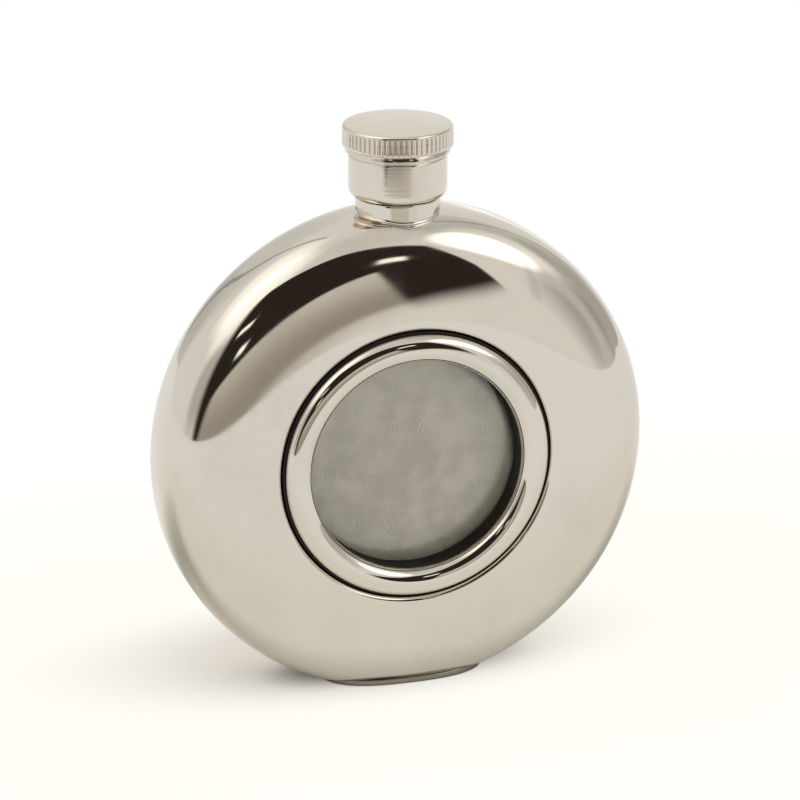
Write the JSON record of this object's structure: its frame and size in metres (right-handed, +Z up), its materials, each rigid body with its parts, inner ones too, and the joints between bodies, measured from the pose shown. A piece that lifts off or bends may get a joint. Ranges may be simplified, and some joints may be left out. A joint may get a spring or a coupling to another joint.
{
  "type": "round hip flask",
  "caption": "Round polished steel hip flask with a flat oval foot, a glazed recess in its front ringed by a half-round bezel, and a knurled screw cap on a short threaded neck.",
  "frame": {"origin": "middle of the foot plate's flat underside", "axes": "+Z up along the neck's axis, -Y out of the front window, +X to the right seen from the front"},
  "size_m": [0.095, 0.0267, 0.1083],
  "materials": {
    "polished_steel": "mirror-polished stainless steel",
    "foot_steel": "polished stainless steel, lightly scuffed",
    "neck_steel": "turned stainless steel",
    "cap_steel": "polished steel with a satin turned skirt",
    "well_steel": "plain pressed stainless steel",
    "plate_satin": "satin, circular brushed, bare",
    "window_glass": "clear, faintly green",
    "gasket_rubber": "black moulded rubber",
    "liner_plastic": "moulded off-white plastic",
    "seal_silicone": "translucent silicone"
  },
  "bodies": {
    "flask": {"front_shell": "polished_steel", "back_shell": "polished_steel", "base_plate": "foot_steel", "neck_tube": "neck_steel", "neck_collar": "polished_steel", "window_well": "well_steel", "backing_plate": "plate_satin", "window_glass": "window_glass", "window_gasket": "gasket_rubber", "window_bezel": "polished_steel"},
    "seal": {"cap_seal": "seal_silicone"},
    "cap": {"cap_shell": "cap_steel", "cap_liner": "liner_plastic"}
  },
  "joints": [
    {"name": "cap_rise", "type": "slide", "parent": "flask", "child": "seal", "axis": [0, 0, 1], "range_m": [0, 0.0121]},
    {"name": "cap_turn", "type": "hinge", "parent": "seal", "child": "cap", "pos_m": [0, 0, 0.1], "axis": [0, 0, 1], "range_deg": [0, 1800]}
  ],
  "couplings": [
    {"joint": "cap_rise", "follows": "cap_turn", "m_per_rad": 0.00038197}
  ]
}
